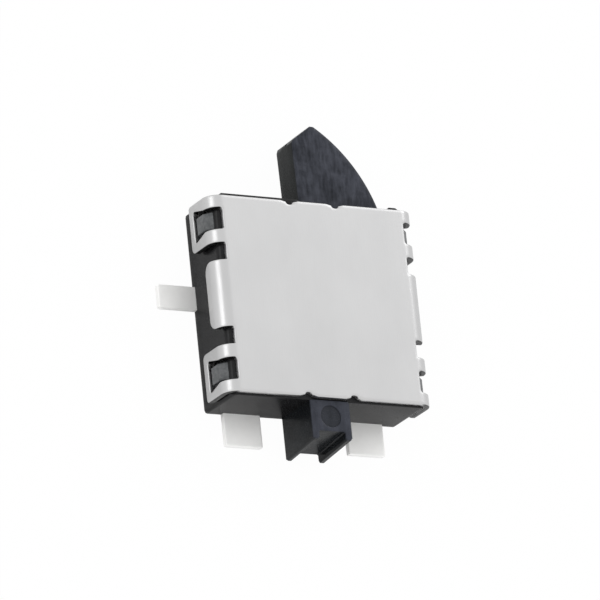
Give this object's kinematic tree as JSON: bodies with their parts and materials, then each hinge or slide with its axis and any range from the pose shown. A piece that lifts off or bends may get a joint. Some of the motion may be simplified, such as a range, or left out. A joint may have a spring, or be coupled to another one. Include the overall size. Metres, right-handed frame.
{
  "type": "surface-mount detector pushbutton switch",
  "caption": "Miniature surface-mount detector switch with a sprung swinging fin, folded sheet-metal cover, moulded housing and flat solder leads.",
  "frame": {"origin": "centre of the housing's footprint, on the seating plane", "axes": "+Z out of the cover, away from the board; +Y from the body towards the lever fin; +X towards the side without a lead"},
  "size_m": [0.0043, 0.0055, 0.0011],
  "materials": {
    "housing_plastic": "smooth moulded black plastic, semi-gloss",
    "cover_metal": "light satin stamped sheet, burnished folds",
    "lever_plastic": "fine matt bluish-black moulding",
    "spring_steel": "drawn stainless spring wire",
    "wiper_metal": "bright copper-alloy spring strip",
    "terminal_metal": "tin-plated copper alloy, satin"
  },
  "bodies": {
    "switch_body": {"base_housing": "housing_plastic", "top_cover": "cover_metal", "return_spring": "spring_steel", "common_terminal": "terminal_metal", "closed_terminal": "terminal_metal", "open_terminal": "terminal_metal"},
    "lever_body": {"actuator_lever": "lever_plastic", "contact_wiper": "wiper_metal"}
  },
  "joints": [
    {"name": "lever_pivot", "type": "hinge", "parent": "switch_body", "child": "lever_body", "pos_m": [-0.00108, 0.00092, 0], "axis": [0, 0, 1], "range_deg": [-41, 0], "stiffness_Nm_per_rad": 0.0006, "springref_deg": 22.92, "deforming": ["return_spring"]}
  ]
}
